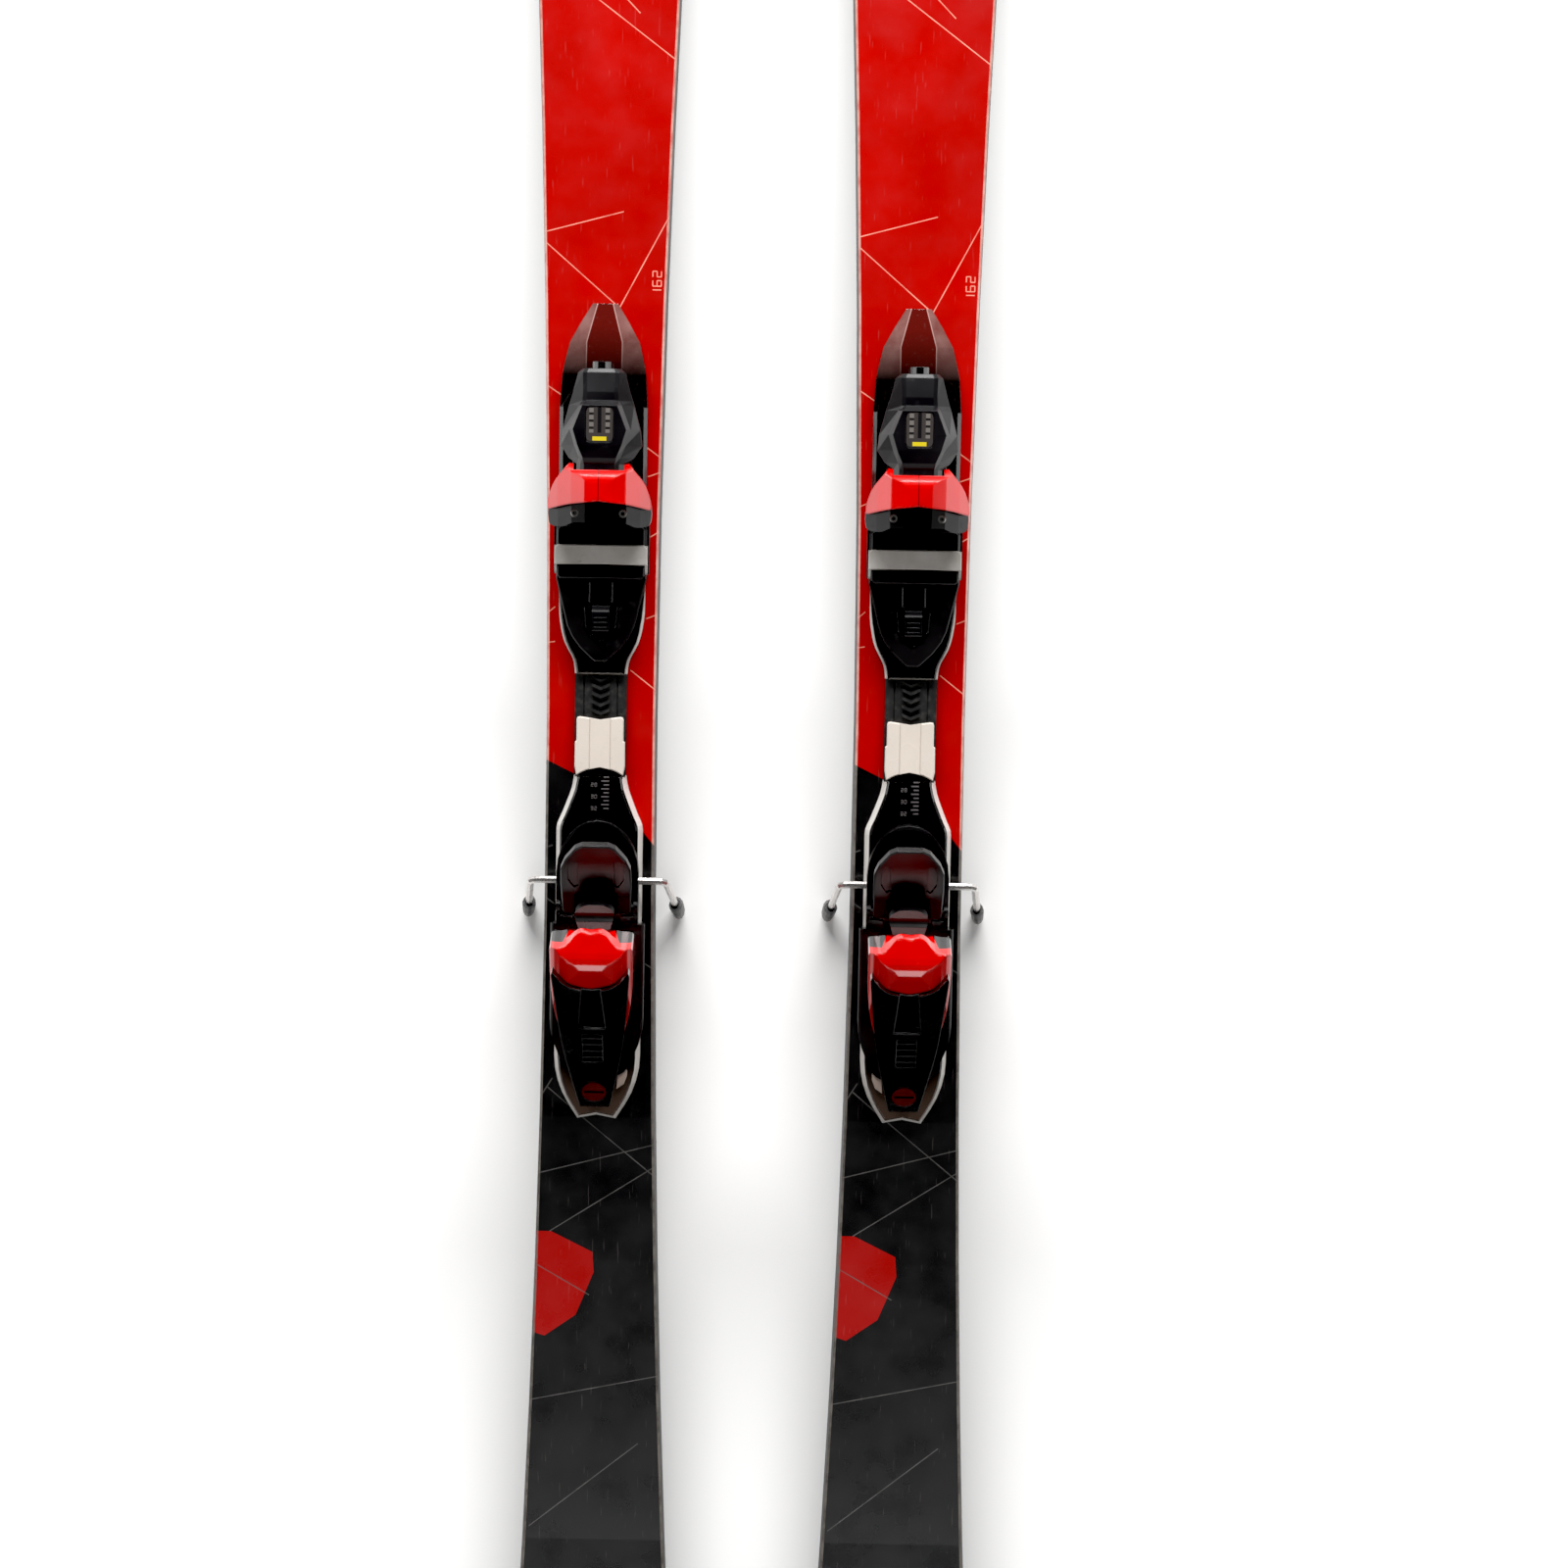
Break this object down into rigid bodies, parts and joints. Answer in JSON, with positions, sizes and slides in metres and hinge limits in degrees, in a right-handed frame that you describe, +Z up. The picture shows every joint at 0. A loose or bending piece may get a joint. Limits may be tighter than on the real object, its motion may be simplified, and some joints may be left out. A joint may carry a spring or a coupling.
{
  "type": "alpine skis with bindings",
  "caption": "Pair of alpine piste skis with side-cut, turned-up shovels, plate-mounted toe and heel bindings that release, and sprung ski brakes with wire arms.",
  "frame": {"origin": "midway between the two skis, at mid-length, on the ground under the lowered brake feet", "axes": "+X to the right across the pair, +Y along the skis to the shovels, +Z up"},
  "size_m": [0.328, 1.62, 0.1472],
  "materials": {
    "wood_laminate": "satin",
    "sintered_base": "matte",
    "edge_steel": "ground",
    "topsheet": "gloss",
    "pale_nylon": "satin",
    "cream_nylon": "satin",
    "smoked_plastic": "gloss",
    "rubber": "matte",
    "black_moulding": "satin",
    "grey_moulding": "satin",
    "low_friction_pad": "satin",
    "screw_steel": "plated",
    "window_plastic": "clear",
    "red_gloss": "gloss",
    "wire_steel": "bright",
    "foot_plastic": "worn",
    "dark_red_plastic": "gloss"
  },
  "bodies": {
    "left_ski": {"left_core": "wood_laminate", "left_base": "sintered_base", "left_steel_edge": "edge_steel", "left_topsheet": "topsheet", "left_front_plate": "pale_nylon", "left_front_cover": "smoked_plastic", "left_rear_plate": "pale_nylon", "left_rear_cover": "smoked_plastic", "left_centre_band": "rubber", "left_centre_clip": "cream_nylon"},
    "left_toe_carriage": {"left_toe_slider": "black_moulding", "left_afd_pad": "low_friction_pad", "left_toe_pivot": "screw_steel"},
    "left_toe_latch": {"left_toe_latch": "grey_moulding"},
    "left_toe_head": {"left_toe_housing": "grey_moulding", "left_toe_window": "window_plastic", "left_toe_wings": "grey_moulding", "left_toe_cover": "red_gloss"},
    "left_toe_din_screw": {"left_toe_din_screw": "screw_steel"},
    "left_heel_carriage": {"left_heel_slider": "black_moulding", "left_brake_base": "black_moulding", "left_heel_tower": "black_moulding"},
    "left_brake_arms": {"left_brake_wire": "wire_steel", "left_brake_foot_left": "foot_plastic", "left_brake_foot_right": "foot_plastic"},
    "left_brake_pedal": {"left_brake_pedal": "black_moulding"},
    "left_heel_head": {"left_heel_cup": "red_gloss", "left_heel_treadle": "black_moulding", "left_heel_lever": "black_moulding"},
    "left_heel_din_screw": {"left_heel_din_screw": "dark_red_plastic"},
    "right_ski": {"right_core": "wood_laminate", "right_base": "sintered_base", "right_steel_edge": "edge_steel", "right_topsheet": "topsheet", "right_front_plate": "pale_nylon", "right_front_cover": "smoked_plastic", "right_rear_plate": "pale_nylon", "right_rear_cover": "smoked_plastic", "right_centre_band": "rubber", "right_centre_clip": "cream_nylon"},
    "right_toe_carriage": {"right_toe_slider": "black_moulding", "right_afd_pad": "low_friction_pad", "right_toe_pivot": "screw_steel"},
    "right_toe_latch": {"right_toe_latch": "grey_moulding"},
    "right_toe_head": {"right_toe_housing": "grey_moulding", "right_toe_window": "window_plastic", "right_toe_wings": "grey_moulding", "right_toe_cover": "red_gloss"},
    "right_toe_din_screw": {"right_toe_din_screw": "screw_steel"},
    "right_heel_carriage": {"right_heel_slider": "black_moulding", "right_brake_base": "black_moulding", "right_heel_tower": "black_moulding"},
    "right_brake_arms": {"right_brake_wire": "wire_steel", "right_brake_foot_left": "foot_plastic", "right_brake_foot_right": "foot_plastic"},
    "right_brake_pedal": {"right_brake_pedal": "black_moulding"},
    "right_heel_head": {"right_heel_cup": "red_gloss", "right_heel_treadle": "black_moulding", "right_heel_lever": "black_moulding"},
    "right_heel_din_screw": {"right_heel_din_screw": "dark_red_plastic"}
  },
  "joints": [
    {"name": "left_toe_slide", "type": "slide", "parent": "left_ski", "child": "left_toe_carriage", "axis": [0, 1, 0], "range_m": [-0.02, 0.02]},
    {"name": "left_toe_latch_lift", "type": "hinge", "parent": "left_toe_carriage", "child": "left_toe_latch", "pos_m": [-0.102, -0.0031, 0.07443], "axis": [-1, 0, 0], "range_deg": [0, 14], "stiffness_Nm_per_rad": 0.05, "springref_deg": -17.19},
    {"name": "left_toe_release", "type": "hinge", "parent": "left_toe_carriage", "child": "left_toe_head", "pos_m": [-0.102, 0.0635, 0.08423], "axis": [0, 0, 1], "range_deg": [-25, 25], "stiffness_Nm_per_rad": 40},
    {"name": "left_toe_din_turn", "type": "hinge", "parent": "left_toe_head", "child": "left_toe_din_screw", "pos_m": [-0.102, 0.1325, 0.08923], "axis": [0, 1, 0], "continuous": true},
    {"name": "left_heel_slide", "type": "slide", "parent": "left_ski", "child": "left_heel_carriage", "axis": [0, 1, 0], "range_m": [-0.02, 0.02]},
    {"name": "left_brake", "type": "hinge", "parent": "left_heel_carriage", "child": "left_brake_arms", "pos_m": [-0.102, -0.199, 0.07413], "axis": [-1, 0, 0], "range_deg": [0, 65], "stiffness_Nm_per_rad": 1.2, "springref_deg": -97.4},
    {"name": "left_brake_pedal_press", "type": "hinge", "parent": "left_heel_carriage", "child": "left_brake_pedal", "pos_m": [-0.102, -0.2155, 0.08143], "axis": [-1, 0, 0], "range_deg": [0, 30]},
    {"name": "left_heel_step", "type": "hinge", "parent": "left_heel_carriage", "child": "left_heel_head", "pos_m": [-0.102, -0.2645, 0.09223], "axis": [-1, 0, 0], "range_deg": [0, 25]},
    {"name": "left_heel_din_turn", "type": "hinge", "parent": "left_heel_head", "child": "left_heel_din_screw", "pos_m": [-0.102, -0.33716, 0.09023], "axis": [0, -0.5331, 0.8461], "continuous": true},
    {"name": "right_toe_slide", "type": "slide", "parent": "right_ski", "child": "right_toe_carriage", "axis": [0, 1, 0], "range_m": [-0.02, 0.02]},
    {"name": "right_toe_latch_lift", "type": "hinge", "parent": "right_toe_carriage", "child": "right_toe_latch", "pos_m": [0.102, -0.0031, 0.07443], "axis": [-1, 0, 0], "range_deg": [0, 14], "stiffness_Nm_per_rad": 0.05, "springref_deg": -17.19},
    {"name": "right_toe_release", "type": "hinge", "parent": "right_toe_carriage", "child": "right_toe_head", "pos_m": [0.102, 0.0635, 0.08423], "axis": [0, 0, 1], "range_deg": [-25, 25], "stiffness_Nm_per_rad": 40},
    {"name": "right_toe_din_turn", "type": "hinge", "parent": "right_toe_head", "child": "right_toe_din_screw", "pos_m": [0.102, 0.1325, 0.08923], "axis": [0, 1, 0], "continuous": true},
    {"name": "right_heel_slide", "type": "slide", "parent": "right_ski", "child": "right_heel_carriage", "axis": [0, 1, 0], "range_m": [-0.02, 0.02]},
    {"name": "right_brake", "type": "hinge", "parent": "right_heel_carriage", "child": "right_brake_arms", "pos_m": [0.102, -0.199, 0.07413], "axis": [-1, 0, 0], "range_deg": [0, 65], "stiffness_Nm_per_rad": 1.2, "springref_deg": -97.4},
    {"name": "right_brake_pedal_press", "type": "hinge", "parent": "right_heel_carriage", "child": "right_brake_pedal", "pos_m": [0.102, -0.2155, 0.08143], "axis": [-1, 0, 0], "range_deg": [0, 30]},
    {"name": "right_heel_step", "type": "hinge", "parent": "right_heel_carriage", "child": "right_heel_head", "pos_m": [0.102, -0.2645, 0.09223], "axis": [-1, 0, 0], "range_deg": [0, 25]},
    {"name": "right_heel_din_turn", "type": "hinge", "parent": "right_heel_head", "child": "right_heel_din_screw", "pos_m": [0.102, -0.33716, 0.09023], "axis": [0, -0.5331, 0.8461], "continuous": true},
    {"name": "pair_spacing", "type": "slide", "parent": "left_ski", "child": "right_ski", "axis": [1, 0, 0], "range_m": [-0.03, 0.3]}
  ],
  "couplings": [
    {"joint": "left_brake_pedal_press", "follows": "left_brake", "ratio": 0.46},
    {"joint": "right_brake_pedal_press", "follows": "right_brake", "ratio": 0.46}
  ]
}
